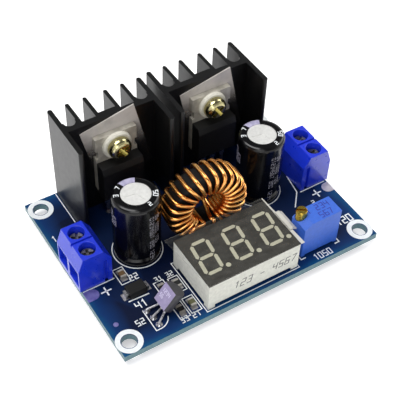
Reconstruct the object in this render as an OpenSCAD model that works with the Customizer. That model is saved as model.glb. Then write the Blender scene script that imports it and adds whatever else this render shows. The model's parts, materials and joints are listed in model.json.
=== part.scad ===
// Step-down (buck) converter module with a three-digit voltmeter.
// One printed board carries the two switching devices on finned heatsinks, a
// toroidal choke, two electrolytic capacitors, two screw terminals, a
// trimmer, a plastic-cased transistor, chip parts and the LED display.
// X runs along the front edge, Y to the back, Z up; Z = 0 is the plane of the
// cut lead ends that the module stands on. All sizes are in millimetres.

/* [Board] */
// Width of the board, left to right
board_w = 64; // [64:0.5:68]
// Depth of the board, front to back
board_d = 47; // [47:0.5:50]
// Thickness of the board
board_t = 1.6; // [1.2:0.2:2.0]
// Length of the cut leads below the board
lead_drop = 1.8; // [1.7:0.1:2.4]
// Distance between mounting holes along the board
hole_span_x = 58.8; // [58:0.2:59]
// Distance between mounting holes across the board
hole_span_y = 41.2; // [41:0.2:41.4]
// Diameter of the mounting holes
hole_d = 3.3; // [3.0:0.1:3.4]

/* [Heatsinks] */
// Width of one heatsink
sink_w = 22.4; // [22.2:0.1:22.6]
// Depth of one heatsink, flange tip to fin tip
sink_d = 15.3; // [15:0.1:15.6]
// Height of the heatsinks
sink_h = 25; // [24:0.5:27]
// Thickness of the inner fins
fin_t = 0.9; // [0.7:0.1:1.0]

/* [Choke] */
// Outer diameter of the ring core
core_od = 17.3; // [16.9:0.1:17.5]
// Inner diameter of the ring core
core_id = 8.9; // [8.9:0.1:9.6]
// Height of the ring core along its axis
core_h = 5; // [4.6:0.1:5]
// Diameter of the enamelled wire
wire_d = 0.9; // [0.7:0.05:0.9]
// Turns on each side of the top turn
half_turns = 11; // [8:1:11]

/* [Capacitors] */
// Diameter over the sleeve
cap_d = 10.4; // [9.8:0.1:10.5]
// Height above the board
cap_h = 17.5; // [14:0.5:20]

/* [Terminals] */
// Distance between the two clamps of a terminal
pole_pitch = 5; // [5:0.02:5.08]
// Height of the terminal housing
term_h = 9.7; // [9.5:0.1:10]
// Depth of the housing, outer face to inner face
term_d = 7.7; // [7.5:0.1:7.9]

/* [Display] */
// Width of the display
disp_w = 22.7; // [22.5:0.1:22.8]
// Depth of the display
disp_d = 14.1; // [14:0.1:14.2]
// Height of the display above the board
disp_h = 7.7; // [7:0.1:8]
// Height of a digit
digit_h = 9.14; // [9:0.02:9.4]
// Slant of the digits in degrees
digit_slant = 7; // [5:0.5:8]

/* [Hidden] */
$fn = 48;
eps = 0.02;                       // gap between parts that only touch
board_z = lead_drop;              // underside of the board
top_z = board_z + board_t;        // upper face of the board

// Places on the board: [x, y] of each part's middle
sink_x = [-12.9, 11.3];
sink_back = [23.6, 24.2];         // y of the fin tips
device_x = [-12.95, 11.45];
cap_at = [[-16.15, -0.3], [16.3, 1.4]];
coil_at = [-1.1, -2.85];
coil_z = top_z + 10;
coil_yaw = -5;
term_x = [-32.3, 32.55];          // outer faces
term_y = [0.2, 0.7];
disp_at = [-0.33, -15.12];
trim_at = [18.05, -18.1];
diode_at = [-22.2, -10.5];
edge_pad_at = [[-30.4, -6.6], [31.1, -6.5]];
via_at = [-29.76, -15.7];
chip_r_at = [[-16.9, -12.6], [-13.7, -13.1], [-16.6, -19.3]];
chip_c_at = [[-13.75, -19.1], [-22.7, -5.25]];
meter_at = [0, -15.1];

// Heatsink section
base_front = 8.1;                 // fin tips to the front of the base plate
base_t = 1.5;
mid_t = 2.3;
flange_t = 1.1;
fin_step = [4.25, 4.35, 5.2, 4.35, 4.25];
pin_r = 1.15;
pin_up = 7;
groove_r = 1.3;
groove_x = (sink_w - flange_t) / 2 - fin_step[0] / 2;
groove_y = base_front - base_t - 1.2;

// Transistor package fastened to each heatsink
pad_t = 0.3;
pad_w = 13.2;
pad_len = 18.5;
pad_tilt = [13, 12.5];
pad_top = [[-1.3, 24.7], [-0.85, 24.2]];   // middle of the upper edge
tab_w = 10;
tab_t = 1.3;
tab_top = 21.4;                   // heights above the board
tab_hole_z = 18.3;
body_top = 14.7;
body_h = 9.2;
body_t = 4.5;
bushing_r = 3.4;
bushing_t = 0.9;
screw_head_r = 2.65;
screw_r = 1.45;
lead_back = 2.6;                  // tab's back to the leads' middle

// Lead sites: [x, y, width, depth]; depth 0 is a round lead
sink_pins = [for (s = [0, 1]) for (m = [-1, 1])
    [sink_x[s] + m * groove_x, sink_back[s] - groove_y, 2 * pin_r, 0]];
cap_leads = [for (c = cap_at) for (m = [-1, 1]) [c[0], c[1] + 2.5 * m, 0.7, 0]];
term_leads = [for (s = [0, 1]) for (m = [-1, 1])
    [term_x[s] + (s == 0 ? 1 : -1) * 3.5, term_y[s] + m * pole_pitch / 2, 1.1, 0]];
reg_leads = [for (i = [-2:2]) [device_x[0] + 1.7 * i, lead_y(0), 0.8, 0.5]];
rect_leads = [for (i = [-1:1]) [device_x[1] + 2.54 * i, lead_y(1), 0.8, 0.5]];
disp_leads = [for (i = [0:5]) for (m = [-1, 1]) if (i < 5 || m > 0)
    [disp_at[0] + (i - 2.5) * 2.54, disp_at[1] + m * 5.08, 0.5, 0.5]];
trim_leads = [for (i = [-1:1]) [trim_at[0] + 2.54 * i, trim_at[1], 0.5, 0]];
to92_leads = [[-22.7, -15.9, 0.5, 0], [-22.3, -18.0, 0.5, 0], [-22.1, -20.05, 0.5, 0]];
coil_leads = [[-6.9, -7.0, wire_d, 0], [-1.0, -7.0, wire_d, 0]];
all_leads = concat(sink_pins, cap_leads, term_leads, reg_leads, rect_leads,
    disp_leads, trim_leads, to92_leads, coil_leads);

function lead_y(s) = sink_back[s] - base_front - pad_t - eps - lead_back;
function lead_reach(l) = l[3] == 0 ? l[2] / 2 : norm([l[2], l[3]]) / 2;
function bore_r(l) = lead_reach(l) + 0.2;

// ---------- shared shapes ----------

module block(size, at) {
    translate([at[0] - size[0] / 2, at[1] - size[1] / 2, at[2]]) cube(size);
}

// A lead standing at a site from height z0 to z1
module straight_lead(l, z0, z1, grow = 0) {
    if (l[3] == 0)
        translate([l[0], l[1], z0]) cylinder(r = l[2] / 2 + grow, h = z1 - z0);
    else
        block([l[2] + 2 * grow, l[3] + 2 * grow, z1 - z0], [l[0], l[1], z0]);
}

// A round rod between two points, with a slightly fuller bend at its start
module rod(a, b, r) {
    d = b - a;
    translate(a) rotate([0, acos(d[2] / norm(d)), atan2(d[1], d[0])])
        cylinder(r = r, h = norm(d), $fn = 24);
    translate(a) sphere(r = r + 0.015, $fn = 24);
}

// ---------- board ----------

module circuit_board() {
    color([0.02, 0.16, 0.36])
    difference() {
        translate([-board_w / 2, -board_d / 2, board_z]) cube([board_w, board_d, board_t]);
        for (x = [-1, 1], y = [-1, 1])
            translate([x * hole_span_x / 2, y * hole_span_y / 2, board_z - 1])
                cylinder(d = hole_d, h = board_t + 2);
        for (l = all_leads)
            translate([l[0], l[1], board_z - 1]) cylinder(r = bore_r(l), h = board_t + 2);
    }
}

// Bare solder-coated areas: the edge pads, one via and the lands of the chip parts
module tinned_pads() {
    land_t = 0.05;
    color([0.75, 0.74, 0.78])
    translate([0, 0, top_z]) {
        for (s = [0, 1]) {
            p = edge_pad_at[s];
            reach = board_w / 2 - abs(p[0]);
            intersection() {
                union() {
                    translate([p[0], p[1], 0]) cylinder(r = 1.45, h = land_t);
                    translate([p[0] - (s == 0 ? reach : 0), p[1] - 1.45, 0])
                        cube([reach, 2.9, land_t]);
                }
                translate([-board_w / 2, -board_d / 2, 0]) cube([board_w, board_d, land_t]);
            }
        }
        translate([via_at[0], via_at[1], 0]) cylinder(r = 0.55, h = land_t);
        for (c = concat(chip_r_at, chip_c_at), m = [-1, 1])
            block([1.4, 1.0, land_t], [c[0], c[1] + m * 1.05, 0]);
        for (m = [-1, 1])
            block([1.5, 1.8, land_t], [diode_at[0] + m * 2.5, diode_at[1], 0]);
    }
}

// Solder fills each lead hole, with a cone below, and the transistor's joints
// have a low fillet above
function in_front_corner(l) = l[0] < -20 && l[1] < -15;
module solder_joints() {
    color([0.78, 0.78, 0.8])
    for (l = all_leads) {
        reach = lead_reach(l);
        difference() {
            union() {
                translate([l[0], l[1], board_z - 0.9])
                    cylinder(r1 = reach + 0.12, r2 = reach + 0.62, h = 0.9);
                translate([l[0], l[1], board_z]) cylinder(r = bore_r(l) - 0.01, h = board_t);
                if (in_front_corner(l))
                    translate([l[0], l[1], top_z])
                        cylinder(r1 = reach + 0.5, r2 = reach + 0.15, h = 0.3);
            }
            straight_lead(l, board_z - 2, top_z + 1, 0.01);
        }
    }
}

// ---------- heatsinks ----------

function fin_x(i) = i == 0 ? -(sink_w - flange_t) / 2 : fin_x(i - 1) + fin_step[i - 1]
    * (sink_w - flange_t) / 22.4;

// Plan of the extrusion; the fin tips lie on y = 0 and the section runs to -sink_d
module sink_section() {
    difference() {
        union() {
            translate([-sink_w / 2, -base_front]) square([sink_w, base_t]);
            translate([fin_x(2), -base_front]) square([fin_x(3) - fin_x(2), mid_t]);
            for (i = [1:4]) {
                translate([fin_x(i) - fin_t / 2, -base_front])
                    square([fin_t, base_front - fin_t / 2]);
                translate([fin_x(i), -fin_t / 2]) circle(r = fin_t / 2, $fn = 24);
            }
            for (m = [-1, 1]) {
                translate([m * (sink_w - flange_t) / 2 - flange_t / 2, -sink_d + flange_t / 2])
                    square([flange_t, sink_d - flange_t]);
                for (y = [-flange_t / 2, -sink_d + flange_t / 2])
                    translate([m * (sink_w - flange_t) / 2, y]) circle(r = flange_t / 2, $fn = 24);
                translate([m * groove_x - fin_step[0] / 2, -base_front]) square([fin_step[0], 2.9]);
            }
        }
        for (m = [-1, 1]) {
            translate([m * groove_x, -groove_y]) circle(r = groove_r);
            translate([m * groove_x - 1.05, -groove_y]) square([2.1, 4]);
        }
    }
}

module heatsink(s) {
    color([0.03, 0.03, 0.035])
    difference() {
        translate([sink_x[s], sink_back[s], top_z]) linear_extrude(sink_h) sink_section();
        translate([device_x[s], sink_back[s] - base_front - 1, top_z + tab_hole_z])
            rotate([-90, 0, 0]) cylinder(r = screw_r + 0.05, h = 6);
    }
}

// Two pins pressed into the grooves and soldered through the board
module heatsink_pins(s) {
    color([0.7, 0.7, 0.72])
    for (i = [0, 1]) straight_lead(sink_pins[2 * s + i], 0, top_z + pin_up);
}

module insulator(s) {
    front = sink_back[s] - base_front;
    color([0.62, 0.61, 0.6])
    difference() {
        translate([sink_x[s] + pad_top[s][0], front, top_z + pad_top[s][1]])
            rotate([0, -pad_tilt[s], 0])
            mirror([0, 0, 1]) translate([-pad_w / 2, -pad_t, 0]) cube([pad_w, pad_t - eps, pad_len]);
        translate([device_x[s], front - 2, top_z + tab_hole_z])
            rotate([-90, 0, 0]) cylinder(r = 1.9, h = 4);
    }
}

// ---------- transistor packages ----------

function tab_back(s) = sink_back[s] - base_front - pad_t - eps;

module device_tab(s) {
    notch = 1.1;
    color([0.75, 0.74, 0.72])
    difference() {
        translate([device_x[s] - tab_w / 2, tab_back(s) - tab_t, top_z + body_top - body_h + 1])
            cube([tab_w, tab_t, tab_top - body_top + body_h - 1]);
        translate([device_x[s], tab_back(s) + 1, top_z + tab_hole_z])
            rotate([90, 0, 0]) cylinder(r = 1.85, h = 4);
        for (m = [-1, 1])
            block([notch, 4, 2], [device_x[s] + m * tab_w / 2, tab_back(s), top_z + body_top + 1.1]);
    }
}

module device_body(s) {
    draft = 0.35;
    zb = top_z + body_top - body_h;
    yb = tab_back(s);
    color([0.04, 0.04, 0.045])
    difference() {
        translate([device_x[s] - tab_w / 2 + 0.05, 0, 0]) rotate([90, 0, 90])
            linear_extrude(tab_w - 0.1)
            polygon([[yb - 0.3, zb], [yb - 0.3, zb + body_h], [yb - tab_t, zb + body_h],
                [yb - body_t + 0.6, zb + body_h], [yb - body_t, zb + body_h - 1.4],
                [yb - body_t, zb + draft], [yb - body_t + draft, zb]]);
        translate([device_x[s] - tab_w, yb - tab_t - 0.01, zb + 1 - 0.01])
            cube([2 * tab_w, tab_t + 1, body_h + 1]);
        for (l = s == 0 ? reg_leads : rect_leads) block([1.34, 0.54, 2], [l[0], l[1], zb - 0.5]);
    }
}

// Leads with a wide shoulder below the body, straight down through the board
module device_leads(s) {
    zb = top_z + body_top - body_h;
    color([0.72, 0.72, 0.74])
    for (l = s == 0 ? reg_leads : rect_leads) {
        straight_lead(l, 0.3, zb - 2.5);
        block([1.3, 0.5, 3.9], [l[0], l[1], zb - 2.5]);
    }
}

// Shoulder washer that keeps the screw off the tab
module bushing(s) {
    y0 = tab_back(s) - tab_t - eps;
    color([0.9, 0.88, 0.78])
    translate([device_x[s], y0, top_z + tab_hole_z]) rotate([90, 0, 0])
        rotate_extrude()
        polygon([[screw_r + 0.1, -tab_t], [1.8, -tab_t], [1.8, 0], [bushing_r, 0],
            [bushing_r, bushing_t - 0.3], [bushing_r - 0.3, bushing_t], [screw_r + 0.1, bushing_t]]);
}

// Pan-head screw with a cross recess
module fixing_screw(s) {
    y0 = tab_back(s) - tab_t - bushing_t - 2 * eps;
    head_h = 2.1;
    color([0.72, 0.66, 0.45])
    translate([device_x[s], y0, top_z + tab_hole_z]) rotate([90, 0, 0])
    difference() {
        rotate_extrude()
            polygon(concat([[0, -8], [screw_r - 0.4, -8], [screw_r, -7.6], [screw_r, 0],
                [screw_head_r, 0], [screw_head_r, 0.7]],
                [for (a = [10:16:90]) [screw_head_r - 1.4 + 1.4 * cos(a), 0.7 + 1.4 * sin(a)]],
                [[0, head_h]]));
        for (a = [35, 125]) rotate([0, 0, a]) block([3.3, 0.75, 2], [0, 0, 0.8]);
    }
}

// ---------- choke ----------

module choke_core() {
    round_r = 0.9;
    color([0.05, 0.05, 0.05])
    translate([coil_at[0], coil_at[1], coil_z]) rotate([0, 0, coil_yaw]) rotate([90, 0, 0])
        rotate_extrude($fn = 96)
        polygon([for (c = [[core_od / 2 - round_r, 1, 0], [core_id / 2 + round_r, 1, 90],
                           [core_id / 2 + round_r, -1, 180], [core_od / 2 - round_r, -1, 270]])
                 for (a = [0:30:90])
                 [c[0] + round_r * cos(c[2] + a), c[1] * (core_h / 2 - round_r) + round_r * sin(c[2] + a)]]);
}

// The winding: a turn number n runs from -half_turns to half_turns about the
// top of the ring, and its fraction gives the place around the core's section.
turn_step = 13.7;
gap = 0.05;
lane = wire_d / 2 + gap;                  // core surface to the wire's middle
wire_in = core_id / 2 - lane;
wire_out = core_od / 2 + lane;
wire_side = core_h / 2 + lane;
bend_r = 0.9 + lane;

function turn_angle(n) = 90 + turn_step * n;

// Corner middles of the wire's lane in the order back-inner, back-outer,
// front-outer, front-inner, each with the angle at which its bend starts
lane_corners = [
    [wire_in + bend_r, wire_side - bend_r, 180, -1],
    [wire_out - bend_r, wire_side - bend_r, 90, -1],
    [wire_out - bend_r, -wire_side + bend_r, 0, -1],
    [wire_in + bend_r, -wire_side + bend_r, -90, -1]];
corner_steps = 3;

// Point k of a turn, k = 0 .. 4 * corner_steps - 1, as [radius, depth]
function lane_point(k) =
    let (c = lane_corners[floor(k / corner_steps)],
         a = c[2] + c[3] * 90 * (k % corner_steps) / (corner_steps - 1))
    [c[0] + bend_r * cos(a), c[1] + bend_r * sin(a)];

// Place on the ring from its angle, radius and depth behind the ring's middle plane
function ring_point(angle, p) = [
    coil_at[0] + p[0] * cos(angle) * cos(coil_yaw) - p[1] * sin(coil_yaw),
    coil_at[1] + p[0] * cos(angle) * sin(coil_yaw) + p[1] * cos(coil_yaw),
    coil_z + p[0] * sin(angle)];

per_turn = 4 * corner_steps;
winding_turns = [for (i = [0:2 * half_turns * per_turn])
    ring_point(turn_angle(half_turns - i / per_turn), lane_point(i % per_turn))];

// Both ends of the wire leave through the eye and turn down in front of the
// ring. The first is the end of an inner run, and the last is folded back
// at the rear of the ring and brought forward through the eye.
lead_a = coil_leads[0];
lead_b = coil_leads[1];
first_angle = turn_angle(half_turns);
last_angle = turn_angle(-half_turns);
fold_r = wire_in - wire_d - 2 * gap;      // radius of the run that is brought forward
end_a = [[lead_a[0], lead_a[1], 0.3], [lead_a[0], lead_a[1], top_z + 5.2],
    [lead_a[0] + 0.4, lead_a[1] + 0.1, top_z + 6.3], [lead_a[0] + 1.3, lead_a[1] + 0.2, top_z + 6.9],
    [lead_a[0] + 2.4, lead_a[1] + 0.25, top_z + 6.8],
    ring_point(first_angle + 6, [wire_in - 0.1, -wire_side - 0.6]),
    ring_point(first_angle + 3, [wire_in - 0.05, -wire_side + 0.3])];
end_b = [ring_point(last_angle - 1, [wire_in, wire_side - 0.5]),
    ring_point(last_angle - 3, [wire_in - 0.3, wire_side + 0.1]),
    ring_point(last_angle - 5, [fold_r + 0.3, wire_side + 0.1]),
    ring_point(last_angle - 7, [fold_r, wire_side - 0.5]),
    ring_point(last_angle - 16, [fold_r, 0]),
    ring_point(last_angle - 26, [fold_r, -wire_side]),
    [lead_b[0] + 0.05, lead_b[1] + 0.35, top_z + 6.9], [lead_b[0], lead_b[1], top_z + 6.1],
    [lead_b[0], lead_b[1], 0.3]];
wire_path = concat(end_a, winding_turns, end_b);

function unit(v) = v / norm(v);
function tangent(p, i) = unit(p[min(i + 1, len(p) - 1)] - p[max(i - 1, 0)]);
function square_to(v, t) = unit(v - (v * t) * t);

// Sweep of a round wire: rings of points carried along the path without twist
module wire(path, r, sides) {
    n = len(path);
    normals = [for (i = 0, v = square_to([1, 0.3, 0], tangent(path, 0)); i < n;
        i = i + 1, v = square_to(v, tangent(path, min(i, n - 1)))) v];
    rings = [for (i = [0:n - 1]) let (t = tangent(path, i), u = normals[i], w = cross(t, u))
        for (k = [0:sides - 1]) path[i] + r * (cos(360 * k / sides) * u + sin(360 * k / sides) * w)];
    walls = [for (i = [0:n - 2]) for (k = [0:sides - 1])
        let (a = i * sides + k, b = i * sides + (k + 1) % sides)
        [b, a, a + sides, b + sides]];
    polyhedron(rings, concat([[for (k = [0:sides - 1]) k]], walls,
        [[for (k = [sides - 1:-1:0]) (n - 1) * sides + k]]), convexity = 10);
}

module choke_winding() {
    color([0.8, 0.45, 0.15]) wire(wire_path, wire_d / 2, 7);
}

// ---------- capacitors ----------

can_r = cap_d / 2 - 0.15;
disc_r = 3.25;
shoulder_r = 0.9;
neck_z = 2.1;
neck_in = 0.35;

// Outline of the can's side from the foot up to the shoulder, r outside the sleeve
function can_side(r, grow) = concat(
    [[r, 0.15], [r, neck_z - 0.7], [r - neck_in, neck_z - 0.15], [r - neck_in, neck_z + 0.15],
     [r, neck_z + 0.7]],
    [for (a = [0:18:90]) [r - (shoulder_r + grow) * (1 - cos(a)),
        cap_h - 0.15 + grow - (shoulder_r + grow) * (1 - sin(a))]]);

// Sealed can with its rubber foot; the top is scored with a three-way vent
module capacitor_can(s) {
    color([0.85, 0.85, 0.84])
    translate([cap_at[s][0], cap_at[s][1], top_z])
    difference() {
        rotate_extrude() polygon(concat([[0, 0.15]], can_side(can_r, 0), [[0, cap_h - 0.15]]));
        for (a = [170, 290, 50]) rotate([0, 0, a])
            translate([0, -0.09, cap_h - 0.25]) cube([2.7, 0.18, 1]);
        for (m = [-1, 1]) translate([0, m * 2.5, -1]) cylinder(r = 0.36, h = 2.2);
    }
}

// Shrink sleeve: a thin skin turned in over the shoulder and under the foot
module capacitor_sleeve(s) {
    color([0.05, 0.05, 0.06])
    translate([cap_at[s][0], cap_at[s][1], top_z])
    difference() {
        rotate_extrude() polygon(concat([[0, 0]], [[cap_d / 2, 0]], can_side(cap_d / 2, 0.15), [[0, cap_h]]));
        rotate_extrude() polygon(concat([[0, 0.14]], can_side(can_r + 0.01, 0.01), [[0, cap_h - 0.14]]));
        translate([0, 0, cap_h - 1]) cylinder(r = disc_r, h = 2);
        translate([0, 0, -1]) cylinder(r = 3.4, h = 1.3);
    }
}

module capacitor_leads(s) {
    color([0.75, 0.75, 0.77])
    for (i = [0, 1]) straight_lead(cap_leads[2 * s + i], 0.3, top_z + 1.1);
}

// ---------- screw terminals ----------

// The housing is drawn with its outer face on x = 0, looking towards -x
pole_w = 4.1;
box_x = 1.7;
box_len = 3.6;
box_z = 1.35;
box_h = 4.4;
box_wall = 0.5;
plate_t = 0.9;
term_hole_r = 1.8;
term_screw_x = 3.5;
head_r = 1.65;
head_bottom = 6.6;                // heights above the board
head_top = 8.1;
tip_z = 3.1;
leaf_t = 0.4;

module place_terminal(s) {
    translate([term_x[s], term_y[s], top_z]) mirror([s, 0, 0]) children();
}

module terminal_housing(s) {
    w = 2 * pole_pitch;
    color([0.08, 0.14, 0.85])
    place_terminal(s)
    difference() {
        translate([0, w / 2, 0]) rotate([90, 0, 0]) linear_extrude(w)
            polygon([[0, 0], [0, 6.3], [1.2, term_h], [term_d - 1.8, term_h], [term_d, 7], [term_d, 0]]);
        for (m = [-1, 1]) translate([0, m * pole_pitch / 2, 0]) {
            translate([-1, -pole_w / 2, 1.2]) cube([box_x + box_len + 1.2, pole_w, 4.7]);
            translate([term_screw_x, 0, 5]) cylinder(r = term_hole_r, h = 6);
            translate([term_screw_x, 0, -1]) cylinder(r = 0.75, h = 3);
        }
        translate([0.9, -0.27, term_h - 0.5]) cube([5.2, 0.54, 1]);
        for (m = [-1, 1]) {
            block([0.8, 1.2, 6.9], [term_d - 1.45, m * w / 2, -0.1]);
        }
    }
}

// Threaded clamp box and its pin, one for each pole
module terminal_boxes(s) {
    color([0.72, 0.72, 0.72])
    place_terminal(s)
    for (m = [-1, 1]) translate([0, m * pole_pitch / 2, 0]) {
        difference() {
            translate([box_x, -pole_w / 2 + 0.1, box_z]) cube([box_len, pole_w - 0.2, box_h]);
            translate([box_x - 1, -pole_w / 2 + 0.1 + box_wall, box_z + 0.55])
                cube([box_len + 2, pole_w - 0.2 - 2 * box_wall, box_h - 0.55 - plate_t]);
            translate([term_screw_x, 0, box_z + 2]) cylinder(r = 1.5, h = 4);
        }
        translate([term_screw_x, 0, -top_z]) cylinder(r = 0.55, h = top_z + box_z + 0.2);
    }
}

// Pressure leaf pushed down on the wire by the tip of the screw
module terminal_leaf(s, m) {
    color([0.7, 0.62, 0.4])
    place_terminal(s) translate([0, m * pole_pitch / 2, 0]) {
        translate([box_x + 0.1, -1.3, tip_z - 0.05 - leaf_t]) cube([box_len - 0.2, 2.6, leaf_t]);
    }
}

module terminal_screw(s, m) {
    color([0.6, 0.6, 0.6])
    place_terminal(s) translate([term_screw_x, m * pole_pitch / 2, 0])
    difference() {
        rotate_extrude()
            polygon([[0, tip_z], [1.0, tip_z], [1.42, tip_z + 0.45], [1.42, head_bottom],
                [head_r, head_bottom], [head_r, head_top - 0.3], [head_r - 0.3, head_top], [0, head_top]]);
        rotate([0, 0, 25 + 40 * m + 70 * s]) {
            block([2 * head_r + 1, 0.6, 2], [0, 0, head_top - 0.75]);
            block([0.6, 2.3, 2], [0, 0, head_top - 0.75]);
        }
    }
}

// ---------- display ----------

face_t = 0.25;
foot = 1.7;
slot_h = 0.9;
seg_t = 0.82;                     // thickness of a bar of a digit
digit_w = 4.6;
digit_pitch = 7.6;
seg_gap = 0.2;

function slant(p) = [p[0] + p[1] * tan(digit_slant), p[1]];

// A bar of a digit from a to b, with pointed ends, slanted with the digit
module bar(a, b) {
    d = unit(b - a);
    q = [-d[1], d[0]] * seg_t / 2;
    h = d * seg_t / 2;
    e = d * seg_gap;
    polygon([for (p = [a + e, a + e + h + q, b - e - h + q, b - e, b - e - h - q, a + e + h - q]) slant(p)]);
}

module digit() {
    x = (digit_w - seg_t) / 2;
    y = (digit_h - seg_t) / 2;
    for (v = [-y, 0, y]) bar([-x, v], [x, v]);
    for (u = [-x, x]) {
        bar([u, -y], [u, 0]);
        bar([u, 0], [u, y]);
    }
    translate([digit_w / 2 + 0.45, -digit_h / 2 + 0.5]) circle(r = 0.55, $fn = 24);
}

module display_marks() {
    for (i = [-1:1]) translate([disp_at[0] + i * digit_pitch, disp_at[1]]) digit();
}

module display_shell() {
    color([0.93, 0.92, 0.86])
    difference() {
        block([disp_w, disp_d, disp_h - face_t], [disp_at[0], disp_at[1], top_z]);
        block([disp_w - 2 * foot, disp_d + 2, slot_h + 1], [disp_at[0], disp_at[1], top_z - 1]);
        block([disp_w + 2, disp_d - 2 * foot, slot_h + 1], [disp_at[0], disp_at[1], top_z - 1]);
        for (l = disp_leads) straight_lead(l, top_z, top_z + 2.4, 0.01);
    }
}

// Dark face with a window for each bar and point
module display_face() {
    color([0.2, 0.2, 0.2])
    translate([0, 0, top_z + disp_h - face_t + 0.005])
    difference() {
        block([disp_w, disp_d, face_t - 0.005], [disp_at[0], disp_at[1], 0]);
        translate([0, 0, -1]) linear_extrude(3) display_marks();
    }
}

// Cast light windows that fill the face's openings
module display_segments() {
    color([0.72, 0.71, 0.62])
    translate([0, 0, top_z + disp_h - face_t + 0.005]) linear_extrude(face_t + 0.015) display_marks();
}

module display_pins() {
    color([0.75, 0.75, 0.77])
    for (l = disp_leads) straight_lead(l, 0.3, top_z + 2.3);
}

// Clear protective film, set down crooked, with its pull tab at the right
module display_film() {
    color([0.85, 0.9, 0.9, 0.3])
    translate([disp_at[0], disp_at[1], top_z + disp_h + 0.04]) linear_extrude(0.12)
        polygon([[-13.0, 8.05], [11.55, 7.7], [12.2, -7.25], [-11.4, -7.05]]);
    color([0.9, 0.88, 0.78])
    translate([disp_at[0] + 11.35, disp_at[1], top_z + disp_h - 0.6]) rotate([90, 0, 0])
        translate([0, 0, -2.6]) linear_extrude(5.6)
        polygon([[0.1, 0], [0.3, 0.64], [0, 0.7], [0, 1.2], [0.9, 1.2], [1.9, 0.4], [1.7, 0.2], [0.8, 0.8]]);
}

// ---------- trimmer ----------

trim_w = 9.5;
trim_d = 4.8;
trim_h = 9.9;
trim_cut = [1.85, 1.25];            // bevel beside the screw, along and down
trim_screw = [-3.4, 1.2];         // from the trimmer's middle

module trimmer_body() {
    color([0.15, 0.35, 0.85])
    translate([trim_at[0], trim_at[1], top_z])
    difference() {
        translate([0, trim_d / 2, 0]) rotate([90, 0, 0]) linear_extrude(trim_d)
            polygon([[-trim_w / 2, 0], [-trim_w / 2, trim_h - trim_cut[1]], [-trim_w / 2 + trim_cut[0], trim_h],
                [trim_w / 2, trim_h], [trim_w / 2, 0], [trim_w / 2 - 0.9, 0], [trim_w / 2 - 0.9, 0.4],
                [-trim_w / 2 + 0.9, 0.4], [-trim_w / 2 + 0.9, 0]]);
        translate([trim_screw[0], trim_screw[1], trim_h - 3.4]) cylinder(r = 1.33, h = 5);
        for (i = [-1:1]) translate([2.54 * i, 0, -1]) cylinder(r = 0.26, h = 3);
    }
}

module trimmer_screw() {
    color([0.8, 0.62, 0.2])
    translate([trim_at[0] + trim_screw[0], trim_at[1] + trim_screw[1], top_z + trim_h - 3.3])
    difference() {
        rotate_extrude()
            polygon([[0, 0], [1.25, 0], [1.25, 4.45], [1.1, 4.6], [0, 4.6]]);
        rotate([0, 0, -32]) block([4, 0.45, 2], [0, 0, 3.85]);
    }
}

module trimmer_pins() {
    color([0.75, 0.75, 0.77])
    for (l = trim_leads) straight_lead(l, 0, top_z + 1.9);
}

// ---------- small parts ----------

// Plastic transistor leaning back on its three spread leads
to92_at = [-20.65, -17.4, top_z + 2.6];
to92_lean = 38.5;
to92_w = 4.6;
to92_t = 3.5;

module transistor_body() {
    color([0.07, 0.07, 0.08])
    translate(to92_at) rotate([0, to92_lean, 0])
    difference() {
        linear_extrude(4.5) intersection() {
            translate([to92_t - to92_w / 2, 0]) circle(r = to92_w / 2);
            translate([0, -to92_w / 2]) square([to92_w, to92_w]);
        }
        for (i = [-1:1]) translate([1.45, 1.27 * i, -1]) cylinder(r = 0.28, h = 2.2);
    }
}

module transistor_leads() {
    lean = [sin(to92_lean), 0, cos(to92_lean)];
    side = [cos(to92_lean), 0, -sin(to92_lean)];
    color([0.8, 0.8, 0.8])
    for (i = [-1:1]) {
        l = to92_leads[1 - i];
        root = to92_at + 1.45 * side + [0, 1.27 * i, 0];
        elbow = root - 1.1 * lean;
        knee = [l[0], l[1], top_z + 0.55];
        rod(root + 0.75 * lean, elbow, 0.25);
        rod(elbow, knee, 0.25);
        rod(knee, [l[0], l[1], 0.3], 0.25);
    }
}

module diode_body() {
    l = 4.3;
    w = 2.6;
    h = 1.8;
    color([0.05, 0.05, 0.05])
    translate([diode_at[0], diode_at[1] + w / 2, top_z + 0.1]) rotate([90, 0, 0]) linear_extrude(w)
        polygon([[-l / 2 + 0.15, 0], [-l / 2, h / 2], [-l / 2 + 0.15, h], [l / 2 - 0.15, h],
            [l / 2, h / 2], [l / 2 - 0.15, 0]]);
}

// Bent tin ends, from half the height of the body down to the board
module diode_ends() {
    color([0.78, 0.78, 0.78])
    for (m = [0, 1])
    translate([diode_at[0], diode_at[1] + 0.75, top_z + 0.05]) mirror([m, 0, 0])
        rotate([90, 0, 0]) linear_extrude(1.5)
        polygon([[2.17, 1.0], [2.17, 1.2], [2.75, 1.2], [2.75, 0.15], [2.75, 0], [1.5, 0], [1.5, 0.04],
            [2.1, 0.04], [2.55, 0.2], [2.55, 1.0]]);
}

module chip(at, h) {
    block([1.25, 2.0, h], [at[0], at[1], top_z + 0.06]);
}

module chip_resistor(i) {
    color([0.1, 0.1, 0.1]) chip(chip_r_at[i - 1], 0.5);
}

module chip_capacitor(i) {
    color([0.5, 0.38, 0.22]) chip(chip_c_at[i - 1], 0.9);
}

// The voltmeter's chip sits on the underside, between the display's pins
module meter_chip_body() {
    color([0.05, 0.05, 0.05])
    translate([meter_at[0], meter_at[1], board_z - 1.1]) translate([-3.25, -2.2, 0]) cube([6.5, 4.4, 0.95]);
}

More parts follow.
